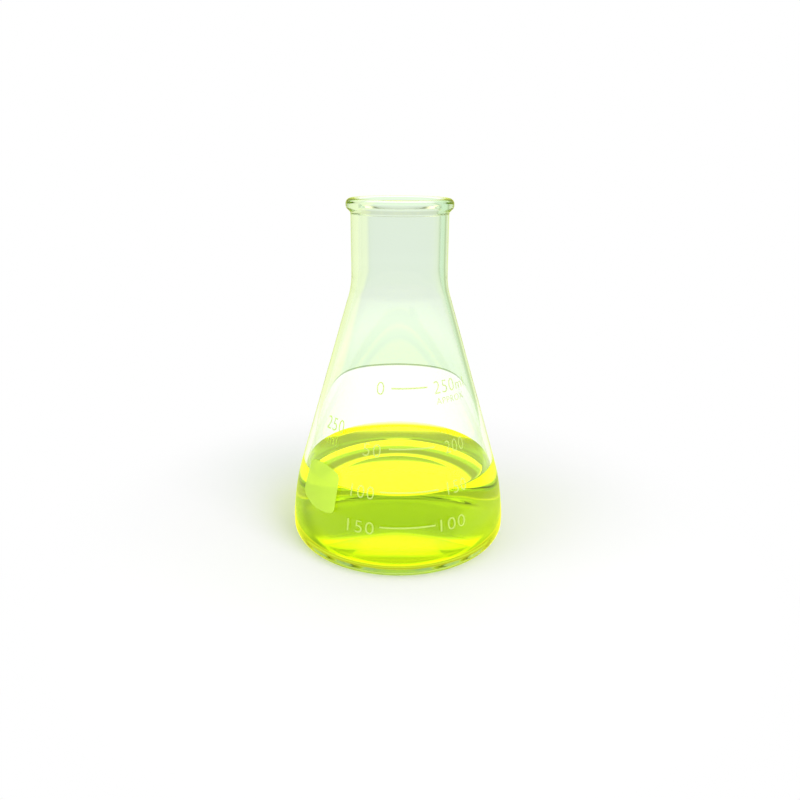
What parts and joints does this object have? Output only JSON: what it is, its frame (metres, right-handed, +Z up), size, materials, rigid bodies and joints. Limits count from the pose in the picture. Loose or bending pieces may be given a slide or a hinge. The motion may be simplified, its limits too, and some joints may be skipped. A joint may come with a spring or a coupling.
{
  "type": "erlenmeyer flask",
  "caption": "Conical glass laboratory flask with a straight neck and a beaded rim, part filled with clear yellow-green liquid; stands on its base and takes a stopper.",
  "frame": {"origin": "middle of the plane that the flask stands on", "axes": "+Z up along the flask's axis, out of the mouth; -Y is the side with the graduations, which faces the camera in the picture"},
  "size_m": [0.085, 0.085, 0.1315],
  "materials": {
    "flask_glass": "clear blown borosilicate glass, faintly green, fire polished",
    "liquid": "transparent yellow-green dyed water"
  },
  "bodies": {
    "root": {"flask_body": "flask_glass", "liquid": "liquid"}
  },
  "joints": []
}
